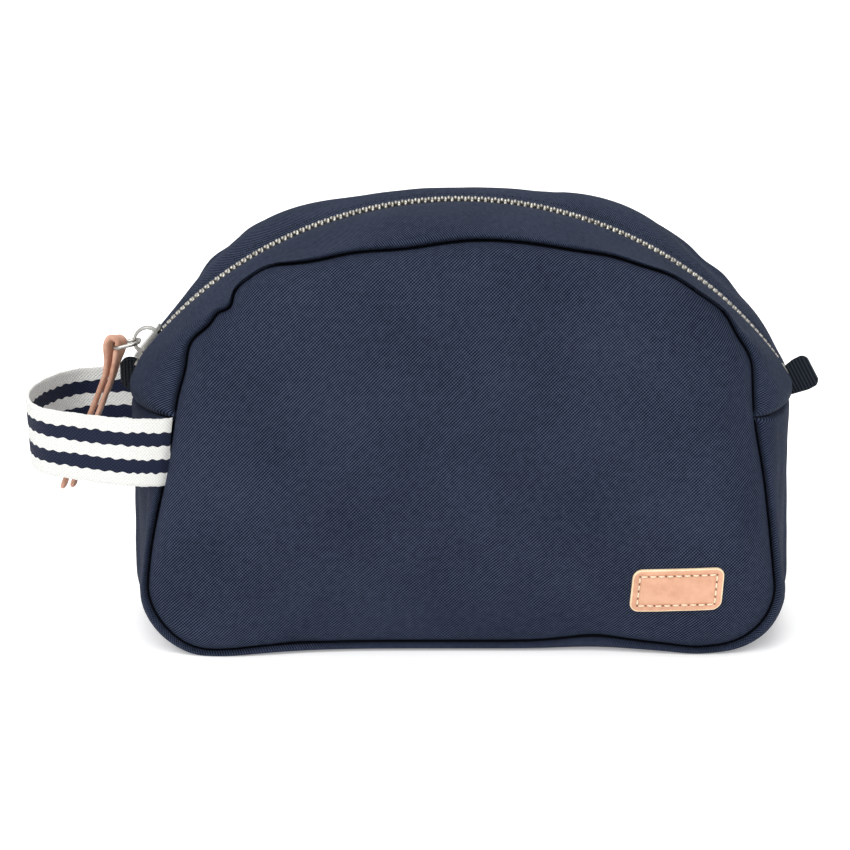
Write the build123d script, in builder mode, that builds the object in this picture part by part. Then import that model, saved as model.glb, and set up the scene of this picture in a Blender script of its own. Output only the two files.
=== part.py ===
"""Dome-shaped shaving kit bag: padded fabric body, curved zip, striped side strap.

Millimetres. The origin is on the floor under the middle of the body, +Z up, +X to the
right and the front of the bag facing -Y. The zip runs over the top on one circular arc.
"""
from build123d import *
from math import cos, degrees, radians, sin, tau
import os

# ---- body ------------------------------------------------------------------------------
half_depth = 40.0          # seams lie this far in front of and behind the middle
wall = 2.0                 # outer fabric, padding and backing together
lining_wall = 0.5
cross_seam_z = 92.0        # lower gusset joins the two zip strips here
base_lift = 3.0            # the front and back seams sit this far above the floor
corner_height = 22.0       # rounded bottom corners

# Outline at the seams (front and back panels) and at the middle of the depth (gusset).
# Each is: bottom half width, widest half width, top of left side, left end of the crown,
# crown, right end of the crown, top of right side.
zip_x, zip_z = -1.5, 15.3  # centre of the zip's arc
zip_r = 152.4              # outer surface of the zip strips
crown_left, crown_right = -52.0, 53.0     # degrees from straight up


def on_arc(angle, radius):
    """Point of the zip's arc plane, angle in degrees from straight up, clockwise."""
    a = radians(angle)
    return (zip_x + radius * sin(a), zip_z + radius * cos(a))


seam_outline = dict(
    bottom=96.0, wide=118.2,
    left_top=(-104.5, 111.6), left_crown=(-85.0, 140.6),
    crown=(-1.5, 159.3),
    right_crown=(91.0, 135.8), right_top=(108.0, 107.6),
)
middle_outline = dict(
    bottom=104.0, wide=126.0,
    left_top=(-125.8, 96.0), left_crown=on_arc(crown_left, zip_r),
    crown=on_arc(0, zip_r),
    right_crown=on_arc(crown_right, zip_r), right_top=(124.8, 92.5),
)

# Depth, share of the gusset's bulge, and height of the underside there.
stations = [(half_depth, 0.0, base_lift), (34.0, 0.45, 0.0), (20.0, 0.88, 0.0), (5.2, 1.0, 0.0)]
stations = [(-y, b, z) for y, b, z in stations] + [(y, b, z) for y, b, z in stations[::-1]]

# Puffed front and back panels: distance out from the seam and inset of the outline there.
puff = [(0.0, 0.0), (6.0, 6.0), (10.0, 14.0)]

# ---- zip -------------------------------------------------------------------------------
strip_gap = 5.2            # the strips' edges stand this far either side of the chain
tape_wall = 0.6
tape_edge = 0.9
tape_reach = 16.0
tooth_pitch = 2.49
tooth = (1.15, 3.3, 2.5)   # along the chain, across it, and high
tooth_lap = 0.3            # each side's teeth pass the middle by this much
chain_r = zip_r - wall - tape_wall / 2
slider_rest = -51.0        # degrees: closed, at the left end
chain_start, chain_end = -50.4, 54.2      # degrees: first and last tooth
top_stop = (1.8, 2.4, 2.5)
bottom_stop = (3.0, 6.4, 2.8)

# ---- slider and pull -------------------------------------------------------------------
slider_length, slider_width = 15.0, 9.4
plate = 1.2
channel = 3.7              # clear height between the slider's two plates
bridge_width, bridge_wall = 2.6, 1.1
bridge_length, bridge_height = 11.0, 5.0
slider_corner = 1.2
diamond = (3.0, 1.9)       # length of its wide part and half its width
rail_width, rail_height = 0.7, 0.9
parting = (8.6, 4.4, 3.0)  # gap in the tapes' edges where the diamond parts them
parting_turn = 2.2         # degrees from the slider's middle to the middle of that gap
ring_rise = 1.9            # middle of the ring's wire above the plate, under the bridge
ring_back = 2.2            # and this far behind the slider's middle
ring_reach = (-9.4, 0, -2.2)              # from there to the wire inside the leather fold
ring_wire = 1.5
ring_width = 8.0
ring_corner = 2.8
lace_wall = 1.8
lace_width = 4.5
lace_head = 3.3            # outer radius of the fold over the ring
lace_length = 57.7
lace_lean = 20.0           # degrees out from straight down
lace_yaw = -10.0           # degrees about its own length
lace_throat = 12.0         # below the head, where the two tails part
lace_throat_gap, lace_tip_gap = 0.35, 0.95       # half the gap between the tails
lace_throat_half, lace_tip_half = 2.45, 3.0      # half the width over both tails

# ---- strap, tabs and patch -------------------------------------------------------------
strap_height = 26.0
strap_wall = 2.0
strap_z = 65.5
strap_corner = 13.0
strap_bend = [(-124, -42.2), (-164, -22), (-169, 8), (-157, 40), (-124, 42.2)]
tab_wall = 1.1
tab_width = 12.0
tab_gap = 0.15             # half the gap between the two layers
# Each tab: root on the gusset, reach, direction it points in and turn about that direction.
left_tab = ((-126.3, 7.4, 95.3), 3.1, 180, 65)
right_tab = ((126.4, 0, 92.4), 10.0, 32, 40)
patch_size = (34.0, 17.0)
patch_wall = 1.6
patch_corner = 3.5
patch_centre = (79.5, 27.5)
patch_tilt = 1.5
stitch_inset = 2.6
stitch_length = 2.3
stitch_wire = 0.7
stitch_rise = 0.25
stitches_long, stitches_short = 9, 4

# ---- lining and seam bindings ----------------------------------------------------------
lining_end = half_depth - 4.0             # the lining is caught in the bindings here
binding_y = half_depth - 0.5
binding_out = wall + 1.0
binding_in = binding_out + 6.0
binding_wall = 1.4

span, above = 400.0, 200.0 # wider and higher than the bag, for the blocks that cut it

os.makedirs("parts", exist_ok=True)


def mix(a, b, share):
    """Value or point part of the way from a to b."""
    if isinstance(a, tuple):
        return tuple(p + (q - p) * share for p, q in zip(a, b))
    return a + (b - a) * share


def outline(y, bulge, floor, inset=0.0):
    """Face of the bag's outline at depth y, drawn in by inset."""
    p = {key: mix(seam_outline[key], middle_outline[key], bulge) for key in seam_outline}

    def drawn_in(point):
        """The crown's points move towards the arc's centre."""
        v = Vector(*point) - Vector(zip_x, zip_z)
        return v * ((v.length - inset) / v.length) + Vector(zip_x, zip_z)

    bottom, wide = p["bottom"] - inset / 2, p["wide"] - inset
    low, side = floor + inset, floor + corner_height + inset / 2
    lean = (wide - bottom) * cos(tau / 8)
    dip = (side - low) * (1 - sin(tau / 8))
    left_top = Vector(p["left_top"][0] + inset, p["left_top"][1] - inset / 2)
    right_top = Vector(p["right_top"][0] - inset, p["right_top"][1] - inset / 2)
    with BuildSketch(Plane.XZ.offset(-y)) as face:
        with BuildLine():
            Line((-bottom, low), (bottom, low))
            ThreePointArc((bottom, low), (bottom + lean, low + dip), (wide, side))
            Line((wide, side), right_top)
            crown = ThreePointArc(
                drawn_in(p["left_crown"]), drawn_in(p["crown"]), drawn_in(p["right_crown"])
            )
            TangentArc(crown @ 1, right_top, tangent=crown % 1)
            TangentArc(crown @ 0, left_top, tangent=-(crown % 0))
            Line(left_top, (-wide, side))
            ThreePointArc((-wide, side), (-bottom - lean, low + dip), (-bottom, low))
        make_face()
    return face.sketch


def gusset_sections(inset):
    """Sections of the gusset from front seam to back seam."""
    return [outline(y, bulge, floor, inset) for y, bulge, floor in stations]


def panel_sections(side, inset):
    """Sections of a puffed panel, side -1 for the front and 1 for the back."""
    return [
        outline(side * (half_depth + max(out - inset, 0)), 0.0, base_lift, draw + inset)
        for out, draw in puff
    ]


def arc_place(angle, radius, y=0.0):
    """Location on the zip's arc, with local Z pointing outwards and local X to the right."""
    x, z = on_arc(angle, radius)
    return Location((x, y, z), (0, angle, 0))


def keep_box(y0, y1, z0, z1):
    """Block that spans the bag's width, used to keep one stretch of a shell."""
    return Pos(0, (y0 + y1) / 2, (z0 + z1) / 2) * Box(span, y1 - y0, z1 - z0)


# ---- outer fabric ----------------------------------------------------------------------
# The whole bag is one stack of skins: outer face, inside of the fabric, inside of the lining.
gusset_skins = [
    loft(sections=gusset_sections(inset), ruled=True) for inset in (0, wall, wall + lining_wall)
]
front_skins = [
    loft(sections=panel_sections(-1, inset), ruled=True) for inset in (0, wall, wall + lining_wall)
]
back_skins = [
    loft(sections=panel_sections(1, inset), ruled=True) for inset in (0, wall, wall + lining_wall)
]

with BuildPart() as lower_gusset:
    add(gusset_skins[0])
    add(gusset_skins[1], mode=Mode.SUBTRACT)
    split(bisect_by=Plane.XY.offset(cross_seam_z), keep=Keep.BOTTOM)

with BuildPart() as front_zip_strip:
    add(gusset_skins[0])
    add(keep_box(-half_depth, -strip_gap, cross_seam_z, above), mode=Mode.INTERSECT)
    add(gusset_skins[1], mode=Mode.SUBTRACT)

with BuildPart() as back_zip_strip:
    add(gusset_skins[0])
    add(keep_box(strip_gap, half_depth, cross_seam_z, above), mode=Mode.INTERSECT)
    add(gusset_skins[1], mode=Mode.SUBTRACT)

with BuildPart() as front_panel:
    add(front_skins[0])
    add(front_skins[1], mode=Mode.SUBTRACT)

with BuildPart() as back_panel:
    add(back_skins[0])
    add(back_skins[1], mode=Mode.SUBTRACT)

# ---- lining and seam bindings ----------------------------------------------------------
with BuildPart() as gusset_lining:
    add(gusset_skins[1])
    add(gusset_skins[2], mode=Mode.SUBTRACT)
    split(bisect_by=Plane.XY.offset(cross_seam_z), keep=Keep.BOTTOM)
    split(bisect_by=Plane.XZ.offset(lining_end), keep=Keep.BOTTOM)
    split(bisect_by=Plane.XZ.offset(-lining_end), keep=Keep.TOP)

with BuildPart() as front_strip_lining:
    add(gusset_skins[1])
    add(keep_box(-lining_end, -tape_reach, cross_seam_z, above), mode=Mode.INTERSECT)
    add(gusset_skins[2], mode=Mode.SUBTRACT)

with BuildPart() as back_strip_lining:
    add(gusset_skins[1])
    add(keep_box(tape_reach, lining_end, cross_seam_z, above), mode=Mode.INTERSECT)
    add(gusset_skins[2], mode=Mode.SUBTRACT)

with BuildPart() as front_lining:
    add(front_skins[1])
    add(front_skins[2], mode=Mode.SUBTRACT)

with BuildPart() as back_lining:
    add(back_skins[1])
    add(back_skins[2], mode=Mode.SUBTRACT)

# The seam allowances are bound together and stand into the bag, just behind each seam.
with BuildPart() as front_seam_binding:
    extrude(outline(-binding_y, 0, base_lift, binding_out), amount=binding_wall, dir=(0, 1, 0))
    extrude(
        outline(-binding_y, 0, base_lift, binding_in),
        amount=binding_wall, dir=(0, 1, 0), mode=Mode.SUBTRACT,
    )

with BuildPart() as back_seam_binding:
    extrude(outline(binding_y, 0, base_lift, binding_out), amount=binding_wall, dir=(0, -1, 0))
    extrude(
        outline(binding_y, 0, base_lift, binding_in),
        amount=binding_wall, dir=(0, -1, 0), mode=Mode.SUBTRACT,
    )

# ---- zip tapes, teeth and stops --------------------------------------------------------
tape_under = loft(sections=gusset_sections(wall + tape_wall), ruled=True)
tape_parting = arc_place(slider_rest - parting_turn, chain_r) * Box(*parting)

with BuildPart() as front_zip_tape:
    add(gusset_skins[1])
    add(keep_box(-tape_reach, -tape_edge, cross_seam_z, above), mode=Mode.INTERSECT)
    add(tape_under, mode=Mode.SUBTRACT)
    add(tape_parting, mode=Mode.SUBTRACT)

with BuildPart() as back_zip_tape:
    add(gusset_skins[1])
    add(keep_box(tape_edge, tape_reach, cross_seam_z, above), mode=Mode.INTERSECT)
    add(tape_under, mode=Mode.SUBTRACT)
    add(tape_parting, mode=Mode.SUBTRACT)

# A tooth clasps the tape's corded edge, so the tape ends inside the tooth's foot.
tooth_step = degrees(tooth_pitch / chain_r)
tooth_count = int((chain_end - chain_start) / tooth_step)
tooth_y = tooth[1] / 2 - tooth_lap


def tooth_places(side, offset):
    """Places of one side's teeth along the arc, side -1 for the front row."""
    return [
        arc_place(chain_start + (k + offset) * tooth_step, chain_r, side * tooth_y)
        for k in range(tooth_count)
    ]


with BuildPart() as front_zip_teeth:
    with Locations(*tooth_places(-1, 0.0)):
        Box(*tooth)
    add(front_zip_tape.part, mode=Mode.SUBTRACT)

with BuildPart() as back_zip_teeth:
    with Locations(*tooth_places(1, 0.5)):
        Box(*tooth)
    add(back_zip_tape.part, mode=Mode.SUBTRACT)

# Two crimped stops above the slider's closed end, and one box stop across both tapes.
top_stop_angle = slider_rest - degrees((slider_length / 2 + top_stop[0] - 0.2) / chain_r)
with BuildPart() as zip_top_stops:
    with Locations(
        arc_place(top_stop_angle, chain_r, -tooth_y), arc_place(top_stop_angle, chain_r, tooth_y)
    ):
        Box(*top_stop)
    add(front_zip_tape.part, mode=Mode.SUBTRACT)
    add(back_zip_tape.part, mode=Mode.SUBTRACT)

with BuildPart() as zip_bottom_stop:
    with Locations(arc_place(chain_end + degrees(tooth_pitch * 1.6 / chain_r), chain_r)):
        stop_block = Box(*bottom_stop)
    fillet(stop_block.edges().filter_by(Axis.Y), 0.4)
    add(front_zip_tape.part, mode=Mode.SUBTRACT)
    add(back_zip_tape.part, mode=Mode.SUBTRACT)

# ---- slider ----------------------------------------------------------------------------
# Built on its own plane: local X along the chain to the right, local Z outwards, and local
# Z = 0 at the middle of the chain.
rest = radians(slider_rest)
slider_at = on_arc(slider_rest, chain_r)
slider_plane = Plane(
    origin=(slider_at[0], 0, slider_at[1]),
    x_dir=(cos(rest), 0, -sin(rest)), z_dir=(sin(rest), 0, cos(rest)),
)
plate_top = channel / 2 + plate
nose = slider_length / 2
shoulder = slider_width / 2


def slider_outline(plane):
    """Shield-shaped plan of the slider's plates, wide end to the left."""
    with BuildSketch(plane) as shape:
        with BuildLine():
            FilletPolyline(
                (-nose, -shoulder + 1), (-2, -shoulder), (nose, -shoulder + 0.9),
                (nose, shoulder - 0.9), (-2, shoulder), (-nose, shoulder - 1),
                radius=slider_corner, close=True,
            )
        make_face()
    return shape.sketch


with BuildPart() as slider_body:
    extrude(slider_outline(slider_plane.offset(channel / 2)), amount=plate)
    extrude(slider_outline(slider_plane.offset(-channel / 2)), amount=-plate)
    # The diamond that parts the two rows of teeth joins the two plates.
    with BuildSketch(slider_plane.offset(-channel / 2)):
        with BuildLine():
            wide_end, half = diamond
            Polyline(
                (-nose, -half + 0.2), (-nose + wide_end, -half), (-1.2, 0),
                (-nose + wide_end, half), (-nose, half - 0.2), close=True,
            )
        make_face()
    extrude(amount=channel)
    # Rails along both sides keep the teeth in the channel, with a slot for the tape.
    rail_y = shoulder - 0.95
    for z, height in ((channel / 2, -rail_height), (-channel / 2, rail_height)):
        with BuildSketch(slider_plane.offset(z)):
            with Locations((1, rail_y), (1, -rail_y)):
                Rectangle(slider_length - 6, rail_width)
        extrude(amount=height)

bridge_plane = Plane(
    origin=slider_plane.origin, x_dir=slider_plane.x_dir, z_dir=(0, -1, 0)
).offset(-bridge_width / 2)
with BuildPart() as slider_bridge:
    with BuildSketch(bridge_plane):
        with BuildLine():
            Line((-bridge_length / 2, plate_top), (bridge_length / 2, plate_top))
            EllipticalCenterArc(
                (0, plate_top), bridge_length / 2, bridge_height, start_angle=0, arc_size=180
            )
        make_face()
        with BuildLine():
            inner = bridge_length / 2 - bridge_wall
            Line((-inner, plate_top), (inner, plate_top))
            EllipticalCenterArc(
                (0, plate_top), inner, bridge_height - bridge_wall, start_angle=0, arc_size=180
            )
        make_face(mode=Mode.SUBTRACT)
    extrude(amount=bridge_width)
    fillet(slider_bridge.edges().filter_by(GeomType.ELLIPSE), 0.3)

# ---- pull ring and leather pull --------------------------------------------------------
# ring_hinge is the middle of the wire under the bridge, lace_hinge of the wire in the fold.
ring_hinge = slider_plane.from_local_coords(Vector(-ring_back, 0, plate_top + ring_rise))
lace_hinge = ring_hinge + Vector(*ring_reach)
ring_run = lace_hinge - ring_hinge
ring_plane = Plane(
    origin=(ring_hinge + lace_hinge) / 2, x_dir=ring_run, z_dir=ring_run.cross(Vector(0, 1, 0))
)

with BuildPart() as pull_ring:
    with BuildLine(ring_plane) as ring_path:
        FilletPolyline(
            (0, -ring_width / 2), (ring_run.length / 2, -ring_width / 2),
            (ring_run.length / 2, ring_width / 2), (-ring_run.length / 2, ring_width / 2),
            (-ring_run.length / 2, -ring_width / 2), (-1, -ring_width / 2),
            radius=ring_corner,
        )
        Line((-1, -ring_width / 2), (0, -ring_width / 2))
    with BuildSketch(Plane(origin=ring_path.line @ 0, z_dir=ring_path.line % 0)):
        Circle(ring_wire / 2)
    sweep()

# The lace is doubled over the ring: a round head and two tails that spread a little.
lean = radians(lace_lean)
lace_up = Vector(sin(lean), 0, cos(lean))
lace_plane = Plane(
    origin=lace_hinge, x_dir=Vector(cos(lean), 0, -sin(lean)), z_dir=Vector(0, -1, 0)
)
lace_hole = lace_head - lace_wall
with BuildPart() as leather_pull:
    with BuildSketch(lace_plane.offset(-lace_width / 2)):
        with BuildLine():
            ThreePointArc((-lace_head, 0), (0, lace_head), (lace_head, 0))
            Polyline(
                (lace_head, 0), (lace_throat_half, -lace_throat), (lace_tip_half, -lace_length),
                (lace_tip_gap, -lace_length), (lace_throat_gap, -lace_throat), (lace_hole, 0),
            )
            ThreePointArc((lace_hole, 0), (0, lace_hole), (-lace_hole, 0))
            Polyline(
                (-lace_hole, 0), (-lace_throat_gap, -lace_throat), (-lace_tip_gap, -lace_length),
                (-lace_tip_half, -lace_length), (-lace_throat_half, -lace_throat), (-lace_head, 0),
            )
        make_face()
    extrude(amount=lace_width)
leather_pull.part = leather_pull.part.rotate(Axis(lace_hinge, lace_up), lace_yaw)

# ---- strap and end tabs ----------------------------------------------------------------
# The strap is a flat loop of webbing standing on edge, sewn into both seams on the left.
strap_root_x = -112.1
strap_side = abs(strap_bend[0][1])
with BuildPart() as strap_loop:
    with BuildSketch(Plane.XY.offset(strap_z)) as strap_plan:
        with BuildLine():
            FilletPolyline(
                (-100, -strap_side), *strap_bend, (-100, strap_side),
                radius=strap_corner, close=True,
            )
        make_face()
        offset(amount=-strap_wall, mode=Mode.SUBTRACT)
        with Locations((strap_root_x + strap_side, 0)):
            Rectangle(2 * strap_side, 3 * strap_side, mode=Mode.SUBTRACT)
    extrude(amount=strap_height)


def end_tab(root, reach, out_angle, twist):
    """Folded webbing tab: two layers joined by a round fold at the free end."""
    half = tab_wall + tab_gap
    plane = Plane(origin=root, x_dir=(cos(radians(out_angle)), 0, sin(radians(out_angle))),
                  z_dir=(0, -1, 0))
    with BuildPart() as tab:
        with BuildSketch(plane.offset(-tab_width / 2)):
            with BuildLine():
                Line((0, -half), (reach, -half))
                ThreePointArc((reach, -half), (reach + half, 0), (reach, half))
                Line((reach, half), (0, half))
                Line((0, half), (0, -half))
            make_face()
            with Locations((reach / 2, 0)):
                Rectangle(reach, 2 * tab_gap, mode=Mode.SUBTRACT)
        extrude(amount=tab_width)
    return tab.part.rotate(Axis(root, plane.x_dir), twist)


with BuildPart() as left_end_tab:
    add(end_tab(*left_tab))

with BuildPart() as right_end_tab:
    add(end_tab(*right_tab))

# ---- leather patch ---------------------------------------------------------------------
panel_front = -half_depth - puff[-1][0]
patch_plane = Plane(
    origin=(patch_centre[0], panel_front, patch_centre[1]),
    x_dir=(cos(radians(patch_tilt)), 0, sin(radians(patch_tilt))), z_dir=(0, -1, 0),
)
with BuildPart() as leather_patch:
    with BuildSketch(patch_plane):
        RectangleRounded(*patch_size, patch_corner)
    extrude(amount=patch_wall)

row_x = patch_size[0] / 2 - stitch_inset
row_z = patch_size[1] / 2 - stitch_inset
long_row = [
    (-row_x + 2 * row_x * (k + 0.5) / stitches_long, z, 0)
    for k in range(stitches_long) for z in (-row_z, row_z)
]
short_row = [
    (x, -row_z + 2 * row_z * (k + 0.5) / stitches_short, 90)
    for k in range(stitches_short) for x in (-row_x, row_x)
]
with BuildPart() as patch_stitches:
    for x, z, turn in long_row + short_row:
        with BuildSketch(patch_plane.offset(patch_wall)):
            with Locations(Location((x, z), turn)):
                SlotOverall(stitch_length, stitch_wire)
        extrude(amount=stitch_rise)

for name, piece in {
    "lower_gusset": lower_gusset, "front_zip_strip": front_zip_strip,
    "back_zip_strip": back_zip_strip, "front_panel": front_panel, "back_panel": back_panel,
    "gusset_lining": gusset_lining, "front_strip_lining": front_strip_lining,
    "back_strip_lining": back_strip_lining, "front_lining": front_lining,
    "back_lining": back_lining, "front_seam_binding": front_seam_binding,
    "back_seam_binding": back_seam_binding, "front_zip_tape": front_zip_tape,
    "back_zip_tape": back_zip_tape, "front_zip_teeth": front_zip_teeth,
    "back_zip_teeth": back_zip_teeth, "zip_top_stops": zip_top_stops,
    "zip_bottom_stop": zip_bottom_stop, "slider_body": slider_body,
    "slider_bridge": slider_bridge, "pull_ring": pull_ring, "leather_pull": leather_pull,
    "strap_loop": strap_loop, "left_end_tab": left_end_tab, "right_end_tab": right_end_tab,
    "leather_patch": leather_patch, "patch_stitches": patch_stitches,
}.items():
    piece.part.label = name
    export_step(piece.part, f"parts/{name}.step")
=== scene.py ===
from math import atan2, cos, pi, radians, sin, tau

import bmesh
import bpy
import numpy as np
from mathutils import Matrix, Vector
from mathutils.bvhtree import BVHTree
from mathutils.geometry import delaunay_2d_cdt


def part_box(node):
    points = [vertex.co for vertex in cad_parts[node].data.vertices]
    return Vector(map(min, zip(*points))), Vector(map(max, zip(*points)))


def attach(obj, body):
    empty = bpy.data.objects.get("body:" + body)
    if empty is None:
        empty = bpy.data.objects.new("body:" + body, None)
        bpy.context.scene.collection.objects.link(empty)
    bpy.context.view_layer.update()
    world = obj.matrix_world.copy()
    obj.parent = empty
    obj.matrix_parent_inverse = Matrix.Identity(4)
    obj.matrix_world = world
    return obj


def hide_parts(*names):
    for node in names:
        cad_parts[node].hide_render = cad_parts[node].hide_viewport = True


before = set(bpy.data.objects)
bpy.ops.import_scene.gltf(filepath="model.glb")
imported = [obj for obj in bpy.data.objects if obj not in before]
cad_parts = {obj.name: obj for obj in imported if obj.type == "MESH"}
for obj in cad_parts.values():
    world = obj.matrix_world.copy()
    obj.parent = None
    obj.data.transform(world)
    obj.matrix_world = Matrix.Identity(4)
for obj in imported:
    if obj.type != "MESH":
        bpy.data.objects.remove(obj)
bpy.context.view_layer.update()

MM = 0.001
scene = bpy.context.scene
scene.view_settings.view_transform = "Standard"

# ---- sizes, millimetres ----------------------------------------------------------------
half_depth = 40.0
base_lift = 3.0
corner_height = 22.0
floor_gap = 0.15           # the fabric's lowest point above the floor
cross_seam_z = 92.0        # at the front and back seams
cross_seam_sag = 1.0       # the cross seam hangs this much lower beside the zip
zip_x, zip_z, zip_r = -1.5, 15.3, 152.4
crown_left, crown_right = -52.0, 53.0
chain_r = 150.1
chain_start, chain_end = -50.4, 54.2
tooth_pitch = 2.49
strip_edge = 5.3           # folded edge of each zip strip, either side of the chain
padding_start = 0.9        # padded rows start this far inside, because they swell
thread_pitch = 0.63        # one thread of the outer fabric
stripe = 5.2               # one stripe of the strap's webbing

SEAM = dict(
    bottom=96.0, wide=118.2, left_top=(-104.5, 111.6), left_crown=(-85.0, 140.6),
    crown=(-1.5, 159.3), right_crown=(91.0, 135.8), right_top=(108.0, 107.6),
)


def on_arc(angle, radius):
    """Point of the zip's arc, angle in degrees clockwise from straight up."""
    a = radians(angle)
    return np.array([zip_x + radius * sin(a), zip_z + radius * cos(a)])


MIDDLE = dict(
    bottom=104.0, wide=126.0, left_top=(-125.8, 96.0), left_crown=on_arc(crown_left, zip_r),
    crown=on_arc(0, zip_r), right_crown=on_arc(crown_right, zip_r), right_top=(124.8, 92.5),
)

# Where each seam leaves the plain outline: place, distance outwards, and spread.
front_bumps = [
    ((-117, 40), 1.8, 24.0), ((-104, 112), -1.6, 9.0), ((-97, 130), -5.2, 9.0),
    ((-89, 138), -5.2, 4.0), ((-72, 147), 2.6, 9.0), ((-52, 153), -0.8, 10.0),
    ((-22, 157), -2.7, 20.0), ((56, 152), 1.6, 12.0), ((76, 146), 2.4, 11.0),
    ((101, 123), -2.8, 9.0), ((110, 92), -1.6, 18.0), ((88, 2), 1.2, 9.0),
    ((50, 5), -2.2, 16.0), ((-94, 1), 1.6, 16.0),
]
back_bumps = [
    ((-88, 136), -2.6, 6.0), ((94, 132), -2.0, 6.0), ((40, 157), 1.0, 30.0),
    ((-84, 3), 2.6, 18.0), ((84, 3), 2.6, 18.0),
]

# Across the gusset from a seam to the zip: depth, share of the bulge, lift of the fabric.
lip_rows = [
    (37.4, 0.0, -1.1), (38.6, 0.0, -0.2), (39.7, 0.01, 0.2), (40.2, 0.03, 0.7),
    (40.25, 0.06, 1.05), (39.8, 0.1, 1.1), (39.0, 0.17, 0.95), (37.8, 0.26, 0.7),
    (36.2, 0.37, 0.4), (34.2, 0.48, 0.15),
]
fold_rows = [
    (6.6, 0.99, -1.45), (5.8, 0.992, -1.64), (strip_edge, 0.994, -1.75),
    (strip_edge, 0.994, -1.86), (6.0, 0.992, -1.9), (7.4, 0.99, -1.92),
]
groove = 0.9               # the panels start this far inside the plain outline
groove_floor = 37.5        # depth of the bottom of the groove along each seam


# ---- outline curves --------------------------------------------------------------------
def circle_centre(a, m, b):
    """Centre of the circle through three points."""
    p, q = m - a, b - a
    d = 2 * (p[0] * q[1] - p[1] * q[0])
    return a + np.array([q[1] * (p @ p) - p[1] * (q @ q), p[0] * (q @ q) - q[0] * (p @ p)]) / d


def arc_points(centre, a, b, count):
    """Points from a up to b, b left out, the short way round centre."""
    start = atan2(*(a - centre)[::-1])
    turn = (atan2(*(b - centre)[::-1]) - start + pi) % tau - pi
    t = start + turn * np.arange(count) / count
    return centre + np.hypot(*(a - centre)) * np.stack([np.cos(t), np.sin(t)], 1)


def tangent_centre(a, tangent, b):
    """Centre of the circle that leaves a along tangent and reaches b."""
    n = np.array([-tangent[1], tangent[0]])
    return a + n * ((b - a) @ (b - a)) / (2 * ((b - a) @ n))


def line_points(a, b, count):
    """Points from a up to b, b left out."""
    return a + (b - a) * (np.arange(count) / count)[:, None]


def outline(bulge, floor):
    """Closed outline of the bag, counter-clockwise from the bottom left corner."""
    p = {k: np.array(SEAM[k]) * (1 - bulge) + np.array(MIDDLE[k]) * bulge for k in SEAM}
    bottom, wide, side = float(p["bottom"]), float(p["wide"]), floor + corner_height
    lean, dip = (wide - bottom) * cos(pi / 4), corner_height * (1 - sin(pi / 4))
    foot = [np.array([s * bottom, floor]) for s in (-1, 1)]
    knee = [np.array([s * (bottom + lean), floor + dip]) for s in (-1, 1)]
    hip = [np.array([s * wide, side]) for s in (-1, 1)]
    corner = [circle_centre(foot[k], knee[k], hip[k]) for k in (0, 1)]
    centre = circle_centre(p["left_crown"], p["crown"], p["right_crown"])
    spoke = [p[k] - centre for k in ("left_crown", "right_crown")]
    shoulder = [
        tangent_centre(p[k + "_crown"], np.array([-s[1], s[0]]) / np.hypot(*s), p[k + "_top"])
        for k, s in zip(("left", "right"), spoke)
    ]
    return np.concatenate([
        line_points(foot[0], foot[1], 110), arc_points(corner[1], foot[1], hip[1], 24),
        line_points(hip[1], p["right_top"], 60),
        arc_points(shoulder[1], p["right_top"], p["right_crown"], 24),
        arc_points(centre, p["right_crown"], p["left_crown"], 160),
        arc_points(shoulder[0], p["left_crown"], p["left_top"], 24),
        line_points(p["left_top"], hip[0], 60), arc_points(corner[0], hip[0], foot[0], 24),
    ])


def outward(points):
    """Unit normals out of a closed counter-clockwise outline."""
    t = np.roll(points, -1, 0) - np.roll(points, 1, 0)
    n = np.stack([t[:, 1], -t[:, 0]], 1)
    return n / np.hypot(*n.T)[:, None]


def near(value, middle, spread):
    """Bell curve: 1 at the middle, fading to 0 within about two spreads."""
    return np.exp(-(((value - middle) / spread) ** 2))


def fullness(points, y):
    """How far the back half stands out beyond the plain outline, most at its two shoulders."""
    angle = np.degrees(np.arctan2(points[:, 0] - zip_x, points[:, 1] - zip_z))
    share = np.interp(y, [6, 12, 20, 30, 38, 40], [0, 0.35, 0.75, 1, 0.85, 0.75])
    everywhere = 0.6
    # Each hump is its angle round the zip's centre, its spread in degrees, and its height.
    humps = [(-29, 13, 6.4), (26, 13, 6.4), (-49, 7, -2.2), (51, 8, 2.2)]
    return share * (everywhere + sum(h * near(angle, a, w) for a, w, h in humps))


def foot_forward(x, y, z):
    """How far the base's two front corners stand forward of the front seam's plane."""
    left, right = 6.0, 3.8
    corner = near(np.abs(x), 88, 30) * near(z, 0, 15)
    return -np.where(x < 0, left, right) * corner * np.clip((-y - 24) / 16, 0, 1) ** 1.5


def gusset_outline(y, bulge, lift):
    """Outline of the gusset at depth y, with the seam's own wander fading towards the zip."""
    on_floor = 0.42            # share of the bulge at which the underside meets the floor
    floor = base_lift * max(0.0, 1 - bulge / on_floor)
    points = outline(bulge, floor)
    out = outward(points)
    wander = np.zeros(len(points))
    for place, distance, spread in front_bumps if y < 0 else back_bumps:
        wander += distance * near(np.hypot(*(points - place).T), 0, spread)
    move = wander * (1 - bulge) ** 2.5 + lift + fullness(points, y)
    points = points + out * move[:, None]
    points[:, 1] = np.maximum(points[:, 1], floor_gap)
    return points


def bulge_at(depth):
    """Share of the gusset's bulge at a depth from the middle."""
    return (1 - min(abs(depth) / half_depth, 1) ** 2.2) ** 0.6


def stretch(points, fractions):
    """Resamples an open polyline at fractions of its length."""
    s = np.concatenate([[0], np.cumsum(np.hypot(*np.diff(points, axis=0).T))])
    return np.stack([np.interp(fractions * s[-1], s, points[:, k]) for k in (0, 1)], 1), s[-1]


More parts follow.
